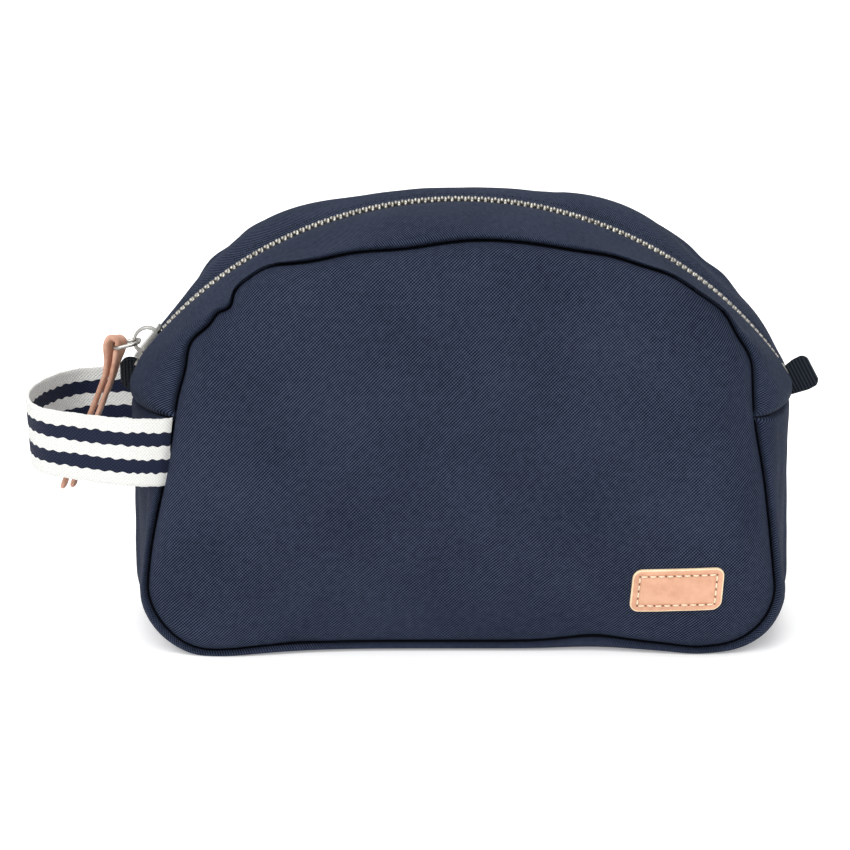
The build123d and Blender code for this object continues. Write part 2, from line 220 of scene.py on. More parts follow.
def cut_outline(points, z):
    """The outline's lower stretch, left to right, and upper stretch, right to left, cut at z."""
    above = points[:, 1] > z
    first = int(np.argmax(above))
    last = len(points) - int(np.argmax(above[::-1]))

    def crossing(a, b):
        return a + (b - a) * (z - a[1]) / (b[1] - a[1])

    right = crossing(points[first - 1], points[first])
    left = crossing(points[last - 1], points[last % len(points)])
    lower = np.concatenate([[left], points[last:], points[:first], [right]])
    upper = np.concatenate([[right], points[first:last], [left]])
    return lower, upper


# ---- mesh making -----------------------------------------------------------------------
def mesh_object(name, points, faces, uvs=None, finish=()):
    """Object from points in metres, with one UV per point and its list of materials."""
    mesh = bpy.data.meshes.new(name)
    mesh.from_pydata([tuple(p) for p in points], [], [tuple(map(int, f)) for f in faces])
    mesh.shade_smooth()
    if uvs is not None:
        corners = np.empty(len(mesh.loops), int)
        mesh.loops.foreach_get("vertex_index", corners)
        layer = mesh.uv_layers.new(name="cloth")
        layer.data.foreach_set("uv", np.asarray(uvs, float)[corners].astype(np.float32).ravel())
    for material in finish:
        mesh.materials.append(material)
    piece = bpy.data.objects.new(name, mesh)
    scene.collection.objects.link(piece)
    return piece


def paint(piece, second):
    """Gives the piece's second material to the polygons that second picks."""
    for k, polygon in enumerate(piece.data.polygons):
        polygon.material_index = int(second(k, polygon.vertices))


def grid_faces(rows, columns, wrap=False, flip=False):
    """Quads of a rows by columns sheet of points, joined round its columns if wrap."""
    r, c = np.meshgrid(np.arange(rows - 1), np.arange(columns - (not wrap)), indexing="ij")
    n = (c + 1) % columns
    quads = np.stack([r * columns + c, r * columns + n, (r + 1) * columns + n,
                      (r + 1) * columns + c], -1).reshape(-1, 4)
    return quads[:, ::-1] if flip else quads


def tube_faces(rows, ring, flip=False):
    """Faces of a closed tube of rows rings of points, with a face over each end."""
    faces = [tuple(q) for q in grid_faces(rows, ring, wrap=True, flip=flip)]
    ends = [tuple(range(ring))[::-1], tuple(range((rows - 1) * ring, rows * ring))]
    return faces + ([end[::-1] for end in ends] if flip else ends)


def coordinates(piece, key="co"):
    """Points of an object's own mesh, or their unit normals where key is "normal"."""
    values = np.empty(len(piece.data.vertices) * 3, np.float32)
    piece.data.vertices.foreach_get(key, values)
    return values.reshape(-1, 3).astype(float)


def set_coordinates(piece, points):
    """Writes the points back to the object's mesh."""
    piece.data.vertices.foreach_set("co", np.asarray(points, np.float32).ravel())
    piece.data.update()


def ripple(points, pitch, seed):
    """Smooth wandering value in -1..1 for each point, repeating about every pitch metres."""
    total = np.zeros(len(points))
    draw = np.random.default_rng(seed)
    for k in range(6):
        way = draw.normal(size=3)
        way *= tau / (pitch * (0.7 + 0.25 * k)) / np.linalg.norm(way)
        total += np.sin(points @ way + draw.uniform(0, tau))
    return total / 3.5


def swell(piece, sewn, slack, cap):
    """Cloth simulation: the padded fabric swells between its sewn points, at most cap metres."""
    frames = 20
    start = coordinates(piece)
    group = piece.vertex_groups.new(name="sewn")
    group.add([int(k) for k in np.nonzero(sewn)[0]], 1.0, "REPLACE")
    cloth = piece.modifiers.new("swell", "CLOTH")
    fabric = cloth.settings
    for key, value in dict(
        vertex_group_mass="sewn", quality=6, mass=0.15, tension_stiffness=12,
        compression_stiffness=12, shear_stiffness=6, bending_stiffness=1.5,
        shrink_min=-slack, use_pressure=True, uniform_pressure_force=3.0,
    ).items():
        setattr(fabric, key, value)
    fabric.effector_weights.gravity = 0
    cloth.point_cache.frame_start, cloth.point_cache.frame_end = 1, frames
    for k in range(1, frames + 1):
        scene.frame_set(k)
    move = coordinates(piece.evaluated_get(bpy.context.evaluated_depsgraph_get())) - start
    size = np.linalg.norm(move, axis=1)
    move *= (cap * np.tanh(size / cap) / np.maximum(size, 1e-9))[:, None]
    piece.modifiers.remove(cloth)
    piece.vertex_groups.remove(group)
    scene.frame_set(1)
    set_coordinates(piece, start + move)


def subdivide(piece):
    """Adds one smooth subdivision and keeps it as a modifier."""
    smooth = piece.modifiers.new("smooth", "SUBSURF")
    smooth.levels = smooth.render_levels = 1
    return piece


# ---- materials -------------------------------------------------------------------------
class Finish:
    """A material under construction: short names for the nodes that this scene uses."""

    def __init__(self, name, **sockets):
        self.material = bpy.data.materials.new(name)
        self.material.use_nodes = True
        self.tree = self.material.node_tree
        self.shader = self.tree.nodes["Principled BSDF"]
        for key, value in sockets.items():
            self.shader.inputs[key.replace("_", " ")].default_value = value

    def node(self, kind, inputs=None, **settings):
        made = self.tree.nodes.new("ShaderNode" + kind)
        for key, value in settings.items():
            setattr(made, key, value)
        for key, value in (inputs or {}).items():
            if isinstance(value, bpy.types.NodeSocket):
                self.tree.links.new(value, made.inputs[key])
            else:
                made.inputs[key].default_value = value
        return made

    def math(self, operation, *values):
        return self.node("Math", dict(enumerate(values)), operation=operation).outputs[0]

    def add(self, a, b):
        return self.math("ADD", a, b)

    def times(self, a, b):
        return self.math("MULTIPLY", a, b)

    def scaled(self, value, factor, offset):
        """Value times factor, plus offset."""
        return self.math("MULTIPLY_ADD", value, factor, offset)

    def wave(self, axis, pitch):
        """Sine along an axis, repeating every pitch millimetres."""
        return self.math("SINE", self.times(axis, tau / (pitch * MM)))

    def place(self, kind="UV"):
        return self.node("TexCoord").outputs[kind]

    def axes(self, where):
        return self.node("SeparateXYZ", {0: where}).outputs

    def noise(self, vector, scale, detail=2.0, rough=0.5):
        return self.node(
            "TexNoise", {"Vector": vector, "Scale": scale, "Detail": detail, "Roughness": rough}
        ).outputs["Fac"]

    def ramp(self, factor, stops):
        made = self.node("ValToRGB", {"Fac": factor})
        ramp = made.color_ramp
        while len(ramp.elements) < len(stops):
            ramp.elements.new(0.5)
        for element, (position, colour) in zip(ramp.elements, stops):
            element.position = position
            element.color = (*colour, 1)
        return made.outputs["Color"]

    def blend(self, factor, a, b):
        # A mix node's colours are its sockets 6 and 7, and its mixed colour is output 2.
        return self.node("Mix", {0: factor, 6: a, 7: b}, data_type="RGBA").outputs[2]

    def colour(self, socket):
        self.tree.links.new(socket, self.shader.inputs["Base Color"])

    def rough(self, socket):
        self.tree.links.new(socket, self.shader.inputs["Roughness"])

    def bump(self, height, distance, strength):
        made = self.node("Bump", {"Height": height, "Distance": distance, "Strength": strength})
        self.tree.links.new(made.outputs["Normal"], self.shader.inputs["Normal"])


def woven(name, dark, mid, light, pitch, sheen=0.04, relief=0.14, place="UV"):
    """Plain weave: warp and weft pass over each other in a checkerboard of single threads."""
    f = Finish(name, Sheen_Weight=sheen, Sheen_Roughness=0.45, Specular_IOR_Level=0.07)
    f.shader.inputs["Sheen Tint"].default_value = (*light, 1)
    where = f.place(place)
    axes = f.axes(where)
    scale = pi / (pitch * MM)
    drift = f.noise(where, 90.0, 1.0)
    u = f.scaled(axes[0], scale, f.times(drift, 1.6))
    v = f.scaled(axes[1 if place == "UV" else 2], scale, drift)
    # The threads that lean one way stand out more, so the weave reads as fine diagonal lines.
    rising = f.math("COSINE", f.math("SUBTRACT", u, v))
    falling = f.math("COSINE", f.add(u, v))
    over = f.math("SUBTRACT", f.times(rising, 0.7), f.times(falling, 0.36))
    fibre = f.noise(where, 1 / (0.22 * MM), 2.0, 0.6)
    cloud = f.noise(where, 26.0, 2.0)
    slub = f.noise(where, 1 / (2.4 * MM), 1.0)
    level = f.scaled(over, 0.5, 0.5)
    for value, share in ((fibre, 0.5), (slub, 0.34), (cloud, 0.3)):
        level = f.add(level, f.scaled(value, share, -share / 2))
    f.colour(f.ramp(level, [(0.1, dark), (0.5, mid), (0.92, light)]))
    f.rough(f.scaled(fibre, 0.2, 0.7))
    f.bump(f.scaled(fibre, 0.35, over), relief * MM, 0.9)
    return f.material


def webbing(name, light, dark):
    """Woven strap with five stripes: wavy stripe edges, cross ribs and fuzzy threads."""
    f = Finish(name, Sheen_Weight=0.04, Specular_IOR_Level=0.08, Roughness=0.85)
    where = f.place()
    axes = f.axes(where)
    wave = f.times(f.wave(axes[0], 5.0), 0.26 * MM)
    edge = f.add(wave, f.scaled(f.noise(where, 160.0, 1.0), 0.9 * MM, -0.45 * MM))
    across = f.math("DIVIDE", f.add(axes[1], edge), stripe * MM)
    across = f.math("MINIMUM", f.math("MAXIMUM", across, 0.0), 4.99)
    odd = f.math("MODULO", f.math("FLOOR", across), 2.0)
    over = f.times(f.wave(axes[0], 1.5), f.wave(axes[1], 1.3))
    fibre = f.noise(where, 1 / (0.25 * MM), 2.0, 0.6)
    level = f.add(f.scaled(over, 0.22, 0.25), f.times(fibre, 0.5))
    shade, deep, high = [c * 0.66 for c in light], [c * 0.3 for c in dark], [c * 3.0 for c in dark]
    light_stripe = f.ramp(level, [(0.0, shade), (0.62, light), (1.0, light)])
    dark_stripe = f.ramp(level, [(0.1, deep), (0.5, dark), (0.95, high)])
    f.colour(f.blend(odd, light_stripe, dark_stripe))
    f.bump(f.scaled(fibre, 0.5, over), 0.22 * MM, 0.8)
    return f.material


def ribbed(name, dark, mid, light, pitch):
    """Narrow webbing with strong ribs across it, for the end tabs."""
    f = Finish(name, Sheen_Weight=0.05, Specular_IOR_Level=0.15, Roughness=0.7)
    where = f.place()
    axes = f.axes(where)
    rib = f.wave(axes[0], pitch)
    cord = f.wave(axes[1], 0.7)
    fibre = f.noise(where, 1 / (0.3 * MM), 2.0, 0.6)
    level = f.add(f.scaled(rib, 0.3, 0.3), f.times(fibre, 0.4))
    f.colour(f.ramp(level, [(0.05, dark), (0.5, mid), (0.95, light)]))
    f.bump(f.add(rib, f.times(cord, 0.4)), 0.3 * MM, 0.9)
    return f.material


def leather(name, dark, mid, light, rough=0.5):
    """Smooth vegetable-tanned leather: cloudy colour, fine grain and a few pores."""
    f = Finish(name, Specular_IOR_Level=0.45)
    where = f.place("Object")
    cloud = f.noise(where, 180.0, 3.0, 0.6)
    pores = f.node("TexVoronoi", {"Vector": where, "Scale": 1 / (0.55 * MM)}).outputs["Distance"]
    fine = f.noise(where, 1 / (0.35 * MM), 3.0, 0.6)
    level = f.add(f.times(cloud, 0.75), f.times(fine, 0.25))
    f.colour(f.ramp(level, [(0.28, dark), (0.5, mid), (0.72, light)]))
    f.rough(f.scaled(fine, 0.25, rough - 0.1))
    f.bump(f.add(pores, fine), 0.06 * MM, 0.6)
    return f.material


def metal(name, colour, dark, rough, scale=260.0):
    """Plated zip metal with faint tarnish and tumbling scratches."""
    f = Finish(name, Metallic=1.0)
    where = f.place("Object")
    tarnish = f.noise(where, scale, 3.0, 0.6)
    scratch = f.noise(where, 1 / (0.5 * MM), 3.0, 0.7)
    f.colour(f.ramp(tarnish, [(0.3, dark), (0.62, colour)]))
    f.rough(f.scaled(scratch, 0.14, rough - 0.06))
    f.bump(scratch, 0.006 * MM, 0.2)
    return f.material


def thread(name, dark, light):
    """Twisted sewing thread."""
    f = Finish(name, Sheen_Weight=0.06, Specular_IOR_Level=0.2, Roughness=0.7)
    where = f.place("Object")
    twist = f.node("TexWave", {"Vector": where, "Scale": 2 / (0.55 * MM) / tau,
                               "Distortion": 1.5}, bands_direction="DIAGONAL").outputs["Fac"]
    f.colour(f.ramp(twist, [(0.2, dark), (0.8, light)]))
    f.bump(twist, 0.08 * MM, 0.7)
    return f.material


navy = woven("navy_canvas", (0.003, 0.005, 0.013), (0.0155, 0.022, 0.044),
             (0.058, 0.074, 0.120), thread_pitch)
# A near-black copy of the navy canvas, without sheen: painted shade for the bottoms of the seams'
# grooves.
navy_groove_shade = woven("navy_groove_shade", (0.001, 0.0015, 0.003), (0.003, 0.004, 0.008),
                  (0.008, 0.010, 0.016), thread_pitch, sheen=0.0)
lining_cloth = woven("lining_cloth", (0.02, 0.025, 0.04), (0.05, 0.06, 0.085),
                     (0.09, 0.1, 0.13), 0.4, relief=0.05)
tape_cloth = woven("zip_tape_cloth", (0.004, 0.005, 0.009), (0.010, 0.012, 0.020),
                   (0.03, 0.035, 0.05), 0.45, relief=0.06, place="Object", sheen=0.1)
binding_cloth = woven("binding_cloth", (0.008, 0.01, 0.018), (0.016, 0.02, 0.033),
                      (0.04, 0.045, 0.06), 0.6)
strap_cloth = webbing("striped_webbing", (0.86, 0.86, 0.83), (0.012, 0.016, 0.036))
tab_cloth = ribbed("tab_webbing", (0.002, 0.003, 0.006), (0.006, 0.009, 0.016),
                   (0.026, 0.040, 0.055), 1.25)
tan = leather("tan_leather", (0.59, 0.305, 0.19), (0.70, 0.375, 0.24), (0.78, 0.45, 0.295))
tan_edge = leather("leather_cut_edge", (0.80, 0.58, 0.36), (0.90, 0.70, 0.46),
                   (0.95, 0.80, 0.58), rough=0.75)
# Dark brown leather for the needle holes: painted shade of the holes.
hole_shade = leather("needle_hole_painted_shade", (0.16, 0.07, 0.035), (0.24, 0.11, 0.06),
                       (0.32, 0.16, 0.09), rough=0.9)
lace_leather = leather("lace_leather", (0.42, 0.20, 0.13), (0.60, 0.33, 0.23),
                       (0.74, 0.45, 0.33), rough=0.6)
nickel = metal("nickel", (0.52, 0.51, 0.48), (0.30, 0.29, 0.27), 0.27, 120.0)
tooth_metal = metal("tooth_metal", (0.56, 0.54, 0.49), (0.20, 0.19, 0.17), 0.32, 600.0)
cream_thread = thread("cream_thread", (0.72, 0.55, 0.36), (0.93, 0.82, 0.64))
navy_thread = thread("navy_thread", (0.006, 0.009, 0.018), (0.024, 0.032, 0.055))


# ---- camera, light and floor -----------------------------------------------------------
def aim(thing, target):
    """Turns a camera or light to face a point."""
    thing.rotation_euler = (Vector(target) - thing.location).to_track_quat("-Z", "Y").to_euler()


camera = bpy.data.objects.new("camera", bpy.data.cameras.new("camera"))
scene.collection.objects.link(camera)
camera_side, camera_distance, camera_height = -0.01426, 1.06252, 0.36265
looks_at_height = 0.07795
camera.data.lens = 121.13
camera.location = (camera_side, -camera_distance, camera_height)
aim(camera, (camera_side, 0.0, looks_at_height))
scene.camera = camera


def area_light(name, place, target, size, power):
    """Soft square light."""
    lamp = bpy.data.objects.new(name, bpy.data.lights.new(name, "AREA"))
    scene.collection.objects.link(lamp)
    lamp.data.size = size
    lamp.data.energy = power
    lamp.location = place
    aim(lamp, target)
    return lamp


area_light("fill", place=(-0.5, -1.3, 0.5), target=(0, 0, 0.08), size=0.9, power=1.2)
area_light("back", place=(0.1, 0.8, 1.1), target=(0, 0, 0.1), size=0.9, power=6.0)
key = bpy.data.objects.new("key", bpy.data.lights.new("key", "SUN"))
scene.collection.objects.link(key)
key.data.energy = 2.0
key.data.angle = radians(60)
key.location = (-0.35, -0.85, 1.2)
aim(key, (0, 0, 0))

world = bpy.data.worlds.new("studio")
scene.world = world
world.use_nodes = True
world.node_tree.nodes["Background"].inputs["Color"].default_value = (1, 1, 1, 1)
world.node_tree.nodes["Background"].inputs["Strength"].default_value = 0.6

floor_finish = Finish("floor_paper", Roughness=0.9, Specular_IOR_Level=0.1,
                      Emission_Strength=0.28)
floor_finish.shader.inputs["Emission Color"].default_value = (1, 1, 1, 1)
paper = floor_finish.noise(floor_finish.place("Object"), 40.0, 3.0)
floor_finish.colour(floor_finish.ramp(paper, [(0.0, (0.90,) * 3), (1.0, (0.94,) * 3)]))
reach = 10.0
floor = mesh_object(
    "floor", [(-reach, -reach, 0), (reach, -reach, 0), (reach, reach, 0), (-reach, reach, 0)],
    [(0, 1, 2, 3)], finish=[floor_finish.material],
)


# ---- gusset and zip strips -------------------------------------------------------------
def crowded(count):
    """Fractions 0..1 with count even steps and extra points close to both ends."""
    ends = np.array([0.001, 0.0024, 0.0042, 0.0066, 0.0098])
    first = ends[-1] * 2.2
    inner = np.linspace(first, 1 - first, count)
    return np.concatenate([[0], ends, inner, 1 - ends[::-1], [1]])


def mirrored(rows):
    """The same rows on the other side of the bag's middle, in the opposite order."""
    return [(-y, bulge, lift) for y, bulge, lift in rows[::-1]]


def seam_rise(y):
    """Height of the cross seam at depth y."""
    return cross_seam_z - cross_seam_sag * bulge_at(y)


def sheet_from_rows(name, rows, upper):
    """Fabric along the outline, above or below the cross seams. Each row is (y, bulge, lift)."""
    points, uvs = [], []
    across, last = 0.0, None
    fractions = crowded(100 if upper else 125)
    along = (fractions - 0.5) * (400.0 if upper else 520.0)
    seam_dip, seam_roll = -2.3, 1.7 if upper else 0.3
    for y, bulge, lift in rows:
        lower_part, upper_part = cut_outline(gusset_outline(y, bulge, lift), seam_rise(y))
        line, length = stretch(upper_part if upper else lower_part, fractions)
        # The fabric dips into the cross seam and rolls over beside it.
        s = np.minimum(fractions, 1 - fractions) * length
        dip = seam_dip * near(s, 0, 1.2) + seam_roll * min(1, bulge / 0.3) * near(s, 6.5, 4.5)
        step = np.gradient(line, axis=0)
        out = np.stack([step[:, 1], -step[:, 0]], 1)
        line = line + out / np.hypot(*out.T)[:, None] * dip[:, None]
        line[:, 1] = np.maximum(line[:, 1], floor_gap)
        x, z = line.T
        row = np.stack([x, y + foot_forward(x, y, z), z], 1)
        if last is not None:
            across += float(np.median(np.linalg.norm(row - last, axis=1)))
        last = row
        points.append(row)
        uvs.append(np.stack([along, np.full(len(line), across)], 1))
    points = np.concatenate(points) * MM
    uvs = np.concatenate(uvs) * MM
    faces = grid_faces(len(rows), len(fractions))
    piece = mesh_object(name, points, faces, uvs, [navy, navy_groove_shade])
    # The fabric turned down into the bottom of the seams' grooves, and the end columns at the cross
    # seams, get the second finish: a near-black copy of the navy that paints the grooves' shade.
    groove_shade_rows = [bulge == 0 for _, bulge, _ in rows]
    columns = len(fractions)

    def in_groove_shade(_, corners):
        row, column = divmod(min(corners), columns)
        return column in (0, columns - 2) or groove_shade_rows[row] and groove_shade_rows[row + 1]

    paint(piece, in_groove_shade)
    return piece


inner_depths = [31.5, 28.5, 25.3, 22.0, 18.7, 15.4, 12.3, 9.6, 7.8]
half_rows = lip_rows + [(d, bulge_at(d), 0.0) for d in inner_depths]
# The zip strips thin towards their folded edges: lift at each depth.
strip_sink = {12.3: -0.2, 9.6: -0.65, 7.8: -1.15}
front_rows = [
    (-d, b, lift - padding_start * min(1.0, max(0.0, (36.5 - d) / 5))) for d, b, lift in half_rows
]
strip_rows = [(-d, b, strip_sink.get(d, lift)) for d, b, lift in half_rows]
bridge_rows = [(y, bulge_at(y), 0.0) for y in (-4.6, -1.6, 1.6, 4.6)]
strip_rows += [(-d, b, lift) for d, b, lift in fold_rows]

gusset = sheet_from_rows(
    "padded_gusset", front_rows + bridge_rows + mirrored(front_rows), upper=False
)
front_strip = sheet_from_rows("padded_front_strip", strip_rows, upper=True)
back_strip = sheet_from_rows("padded_back_strip", mirrored(strip_rows), upper=True)

# The padding is held by the panels' seams, the cross seams, the zip's stitching and the floor.
held_by_seam = 16.0        # this far above and below the cross seams
for strip in (gusset, front_strip, back_strip):
    depth, height = np.abs(coordinates(strip)[:, 1:]).T / MM
    if strip is gusset:
        sewn = (depth > 37.3) | (height < 2.5) | (height > seam_rise(0) - held_by_seam)
    else:
        sewn = (depth > 37.3) | (depth < 13) | (height < seam_rise(0) + held_by_seam)
    swell(strip, sewn, 0.008 if strip is gusset else 0.002, 1.4 * MM)


# ---- front and back panels -------------------------------------------------------------
def seam_ring(side, lift, count):
    """The front (-1) or back (1) seam as evenly spaced points, moved out by lift."""
    ring = gusset_outline(side * half_depth, 0.0, lift)
    return stretch(np.concatenate([ring, ring[:1]]), np.linspace(0, 1, count + 1)[:-1])[0]


def relax(ring, rounds):
    """Evens out the bends of a closed ring."""
    for _ in range(rounds):
        ring = ring * 0.5 + (np.roll(ring, 1, 0) + np.roll(ring, -1, 0)) * 0.25
    return ring


def distance_to(ring, spots):
    """Distance from each spot to the nearest point of a ring."""
    return np.array([np.hypot(*(ring - s).T).min() for s in spots])


def inside(ring, spots):
    """Which spots lie inside a closed ring: those with an odd number of sides to their right."""
    edge = np.roll(ring, -1, 0)
    drop = edge[:, 1] - ring[:, 1] + 1e-12
    return np.array([
        np.count_nonzero(
            ((ring[:, 1] > z) != (edge[:, 1] > z))
            & (x < ring[:, 0] + (edge[:, 0] - ring[:, 0]) * (z - ring[:, 1]) / drop)
        ) % 2 == 1 for x, z in spots
    ])


def panel(name, side, seed):
    """Puffed panel inside one seam: curled rim in rings, then a filled middle."""
    ring = seam_ring(side, -groove, 320)
    insets = [0, 0.3, 0.75, 1.4, 2.3, 3.4, 4.8, 6.6, 8.8, 11.5]
    rings, depths = [ring], [0.0]
    for before, far in zip(insets, insets[1:]):
        ring = relax(ring - outward(ring) * (far - before), int(far / 2) + 1)
        rings.append(ring)
        depths.append(far)
    rim = np.concatenate(rings)
    away = np.repeat(depths, len(ring))
    # The middle is a grid kept clear of the last ring, joined to it by triangles.
    step = 2.9
    low, high = ring.min(0), ring.max(0)
    gx, gz = np.meshgrid(np.arange(low[0], high[0], step), np.arange(low[1], high[1], step))
    spots = np.stack([gx.ravel(), gz.ravel()], 1)
    spots = spots[inside(ring, spots) & (distance_to(ring, spots) > 0.62 * step)]
    count = len(ring)
    flat = np.concatenate([ring, spots])
    edges = [(k, (k + 1) % count) for k in range(count)]
    inner = delaunay_2d_cdt([Vector(p) for p in flat], edges, [], 1, 1e-5)
    first = len(rim) - count
    faces = [tuple(int(k) for k in quad) for quad in grid_faces(len(rings), count, wrap=True)]
    faces += [tuple(first + inner[3][k][0] for k in face) for face in inner[2]]
    plan = np.concatenate([rim, spots])
    away = np.concatenate([away, np.maximum(distance_to(rings[0], spots), insets[-1])])
    x, z = plan.T
    # It rises steeply from its seam, and gently near the base.
    puff, belly = 12.0, 2.0
    steep_width, gentle_width = 13, 28
    steep = (1 - (1 - np.minimum(away / steep_width, 1)) ** 2.6) ** 0.56
    gentle = (1 - (1 - np.minimum(away / gentle_width, 1)) ** 2) ** 0.62
    base = np.clip((46 - z) / 30, 0, 1)
    base = base ** 2 * (3 - 2 * base)
    rise = groove_floor - half_depth + puff * (steep * (1 - base) + gentle * base)
    rise += belly * near(x, 0, 80) * near(z, 72, 48) * np.clip(away / insets[-1], 0, 1)
    y = side * (half_depth + rise) + foot_forward(x, side * half_depth, z)
    points = np.stack([x, y, z], 1) * MM
    # The cloth's own coordinates run down the curled rim at its full length.
    cloth = plan.copy()
    sheets = points[: len(rim)].reshape(len(rings), count, 3) / MM
    steps = np.linalg.norm(np.diff(sheets, axis=0), axis=2)
    length = np.concatenate([np.cumsum(steps[::-1], axis=0)[::-1], np.zeros((1, count))])
    way = rings[0] - rings[-1]
    way /= np.hypot(*way.T)[:, None]
    cloth[: len(rim)] = (rings[-1] + way * length[:, :, None]).reshape(-1, 2)
    piece = mesh_object(name, points, faces, cloth * [-side * MM, MM], [navy, navy_groove_shade])
    # The outermost band of the rim, down in the seam's groove, gets the near-black navy: painted
    # shade.
    paint(piece, lambda k, corners: max(corners) < 2 * count)
    piece.data.update()
    if coordinates(piece, "normal")[len(rim) :, 1].mean() * side < 0:
        piece.data.flip_normals()
    bm = bmesh.new()
    bm.from_mesh(piece.data)
    triangles = [f for f in bm.faces if len(f.verts) == 3]
    bmesh.ops.join_triangles(bm, faces=triangles, angle_face_threshold=0.7,
                             angle_shape_threshold=0.7, cmp_uvs=False)
    bm.to_mesh(piece.data)
    bm.free()
    piece.data.shade_smooth()
    swell(piece, np.arange(len(plan)) < count * 5, 0.01, 2.2 * MM)
    soft = np.clip((away - 1) / 10, 0, 1)
    points = coordinates(piece)
    points[:, 1] += side * soft * MM * (
        0.45 * ripple(points, 0.11, seed) + 0.22 * ripple(points, 0.045, seed + 1)
    )
    set_coordinates(piece, points)
    return piece


front_panel = panel("padded_front_panel", -1, 11)
back_panel = panel("padded_back_panel", 1, 23)


# Soft creases that the seams' pinches and the base press into the front: from, to, depth, width.
creases = [
    ((-88, 130), (-66, 108), 1.3, 6.0), ((93, 131), (74, 112), 1.0, 6.0),
    ((-62, 4), (-50, 22), 1.0, 6.0), ((50, 4), (44, 22), 1.2, 7.0),
    ((-40, 150), (-34, 122), 0.5, 8.0), ((62, 148), (56, 124), 0.5, 7.0),
]


def press(piece):
    """Presses the creases into the front, deepest at the seam and fading along each line."""
    points = coordinates(piece)
    plan = points[:, [0, 2]] / MM
    for start, end, depth, width in creases:
        a, b = np.array(start, float), np.array(end, float)
        along = (plan - a) @ (b - a) / ((b - a) @ (b - a))
        off = plan - a - np.clip(along, 0, 1)[:, None] * (b - a)
        fade = np.clip(1 - along, 0, 1) ** 1.2 * (along > -0.25)
        points[:, 1] += depth * MM * fade * near(np.hypot(*off.T), 0, width)
    set_coordinates(piece, points)


press(front_panel)
for piece in (gusset, front_strip, back_strip):
    points = coordinates(piece)
    depth = np.abs(points[:, 1]) / MM
    free = np.clip((39 - depth) / 8, 0, 1)
    if piece is not gusset:
        free *= np.clip((depth - 8) / 8, 0, 1)
    free *= np.clip((points[:, 2] / MM - 2) / 8, 0, 1)
    lift = 0.5 * ripple(points, 0.07, 5) + 0.25 * ripple(points, 0.028, 6)
    points += coordinates(piece, "normal") * (lift * free * MM)[:, None]
    set_coordinates(piece, points)

for piece in (gusset, front_strip, back_strip, front_panel, back_panel):
    subdivide(piece)


# ---- lining ----------------------------------------------------------------------------
def lining_piece():
    """One inner bag: rows that close towards the middle of the front and back panels."""
    rings, uvs = [], []
    middle = np.array([0, 78.0])
    layout = [(-45.5, 0.0, -60.0), (-44.5, 0.0, -22.0), (-40.5, 0.0, -10.0), (-35.0, 0.3, -5.0),
              (-28.0, 0.68, -3.2), (-16.5, 0.9, -3.0)]
    for y, bulge, lift in layout + mirrored(layout):
        line = gusset_outline(y, bulge, 0.0)
        # The two rows that close each end shrink towards the middle instead of stepping in.
        if lift < -20:
            line = middle + (line - middle) * (1 + lift / 75)
        else:
            line = line + outward(line) * lift
        line[:, 1] = np.maximum(line[:, 1], 2.6)
        line = line[::4]
        rings.append(np.stack([line[:, 0], np.full(len(line), y), line[:, 1]], 1))
        uvs.append(np.stack([np.arange(len(line)) * 6.0, np.full(len(line), y)], 1))
    count = len(rings[0])
    # The lining stops at the zip tapes, so the band between its two middle rows stays open on top.
    faces = [q for q in grid_faces(len(rings), count, wrap=True, flip=True)
             if not (q.min() // count == 5 and rings[5][q.min() % count][2] > cross_seam_z)]
    return mesh_object("lining_bag", np.concatenate(rings) * MM, faces,
                       np.concatenate(uvs) * MM, [lining_cloth])


lining = lining_piece()
subdivide(lining)


def binding_piece(name, side):
    """Tape folded over the raw edges inside one seam, following the seam's wander."""
    ring = seam_ring(side, 0.0, 260)
    loops, uvs = [], []
    # Its section: depth from the bag's middle, and distance inside the seam.
    section = [(36.4, 5.2), (37.6, 5.2), (37.6, 6.6), (37.6, 8.0), (36.4, 8.0), (36.4, 6.6)]
    for depth, inset in section:
        loop = relax(ring - outward(ring) * inset, int(inset * 2))
        loops.append(np.stack([loop[:, 0], np.full(len(loop), side * depth), loop[:, 1]], 1))
        uvs.append(np.stack([np.arange(len(loop)) * 2.6, np.full(len(loop), inset + depth)], 1))
    count = len(ring)
    quads = grid_faces(len(loops), count, wrap=True)
    last = (len(loops) - 1) * count
    closing = [(last + k, last + (k + 1) % count, (k + 1) % count, k) for k in range(count)]
    piece = mesh_object(name, np.concatenate(loops) * MM, np.concatenate([quads, closing]),
                        np.concatenate(uvs) * MM, [binding_cloth])
    if side > 0:
        piece.data.flip_normals()
    return piece


front_binding = binding_piece("front_binding", -1)
back_binding = binding_piece("back_binding", 1)


# ---- zip teeth -------------------------------------------------------------------------
def frame_at(angle, radius):
    """Place on the zip's arc with its directions along the chain and outwards, metres."""
    x, z = on_arc(angle, radius) * MM
    a = radians(angle)
    return Vector((x, 0, z)), Vector((cos(a), 0, -sin(a))), Vector((sin(a), 0, cos(a)))


def tooth_form():
    """One cast tooth on the front row: rounded nib, waist and clasp, in millimetres."""
    sections = [(-3.15, 0.42, 0.8), (-2.9, 0.6, 1.15), (-2.2, 0.62, 1.5), (-1.5, 0.58, 1.7),
                (-0.8, 0.5, 1.65), (0.0, 0.6, 1.75), (0.28, 0.46, 1.5), (0.36, 0.2, 0.8)]
    points = []
    ring = 10
    for y, half_x, half_z in sections:
        for k in range(ring):
            a = tau * (k + 0.5) / ring
            c, s = cos(a), sin(a)
            points.append((half_x * np.sign(c) * abs(c) ** 0.55, y,
                           half_z * np.sign(s) * abs(s) ** 0.55))
    return points, tube_faces(len(sections), ring)


